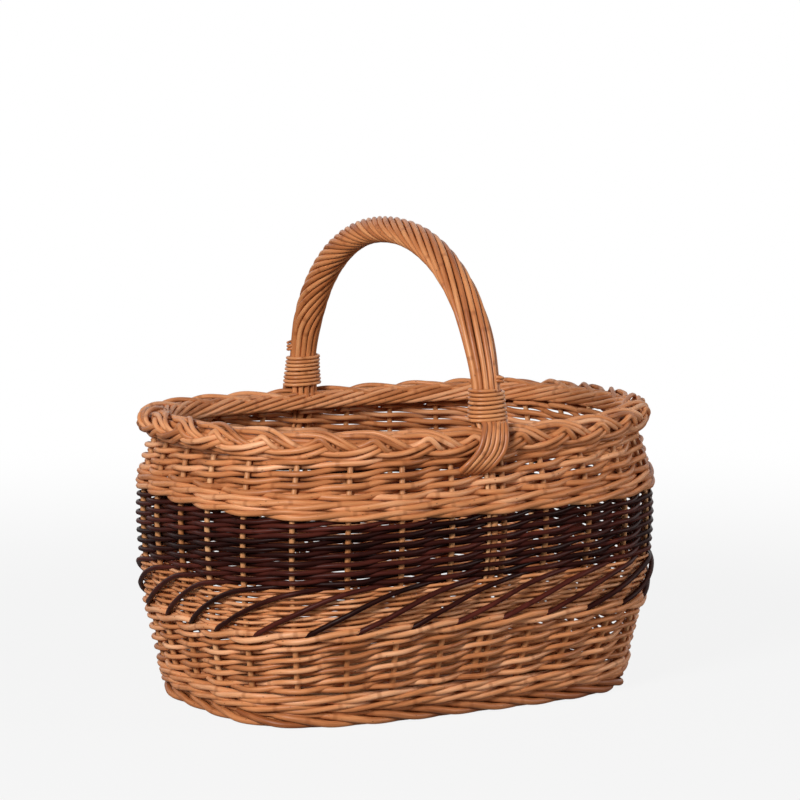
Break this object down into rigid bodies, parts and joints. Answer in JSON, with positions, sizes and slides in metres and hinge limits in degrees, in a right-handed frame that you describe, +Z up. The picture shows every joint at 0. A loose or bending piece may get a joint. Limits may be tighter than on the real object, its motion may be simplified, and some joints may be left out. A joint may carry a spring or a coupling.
{
  "type": "wicker shopping basket",
  "caption": "Oblong willow shopping basket with a flared woven wall, a dark woven band, a plaited rim and a fixed roped arch handle.",
  "frame": {"origin": "on the ground under the middle of the basket", "axes": "+X along the length of the basket, +Y across it from the front to the back and along the arch of the handle, +Z up"},
  "size_m": [0.4488, 0.3527, 0.4123],
  "materials": {
    "buff_willow": "smooth peeled willow with a soft sheen",
    "stake_willow": "smooth peeled willow with a soft sheen",
    "handle_willow": "polished peeled willow",
    "dark_willow": "dark stained willow with a soft sheen",
    "base_willow": "plain peeled willow"
  },
  "bodies": {
    "root": {"base_weave": "base_willow", "base_long_stick_01": "stake_willow", "base_long_stick_02": "stake_willow", "base_long_stick_03": "stake_willow", "base_cross_stick_01": "stake_willow", "base_cross_stick_02": "stake_willow", "base_cross_stick_03": "stake_willow", "base_cross_stick_04": "stake_willow", "foot_border": "buff_willow", "upsett_wale": "buff_willow", "lower_randing": "buff_willow", "waist_wale": "buff_willow", "fine_randing": "buff_willow", "dark_randing": "dark_willow", "upper_wale": "buff_willow", "upper_randing": "buff_willow", "top_border": "buff_willow", "stake_01": "stake_willow", "stake_02": "stake_willow", "stake_03": "stake_willow", "stake_04": "stake_willow", "stake_05": "stake_willow", "stake_06": "stake_willow", "stake_07": "stake_willow", "stake_08": "stake_willow", "stake_09": "stake_willow", "stake_10": "stake_willow", "stake_11": "stake_willow", "stake_12": "stake_willow", "stake_13": "stake_willow", "stake_14": "stake_willow", "stake_15": "stake_willow", "stake_16": "stake_willow", "stake_17": "stake_willow", "stake_18": "stake_willow", "stake_19": "stake_willow", "stake_20": "stake_willow", "stake_21": "stake_willow", "stake_22": "stake_willow", "stake_23": "stake_willow", "stake_24": "stake_willow", "stake_25": "stake_willow", "stake_26": "stake_willow", "stake_27": "stake_willow", "stake_28": "stake_willow", "handle_bow": "handle_willow", "handle_rod_01": "handle_willow", "handle_rod_02": "handle_willow", "handle_rod_03": "handle_willow", "handle_rod_04": "handle_willow", "handle_rod_05": "handle_willow", "handle_rod_06": "handle_willow", "handle_rod_07": "handle_willow", "handle_rod_08": "handle_willow", "handle_rod_09": "handle_willow", "handle_rod_10": "handle_willow", "handle_rod_11": "handle_willow", "handle_rod_12": "handle_willow", "front_binding": "handle_willow", "back_binding": "handle_willow"}
  },
  "joints": []
}
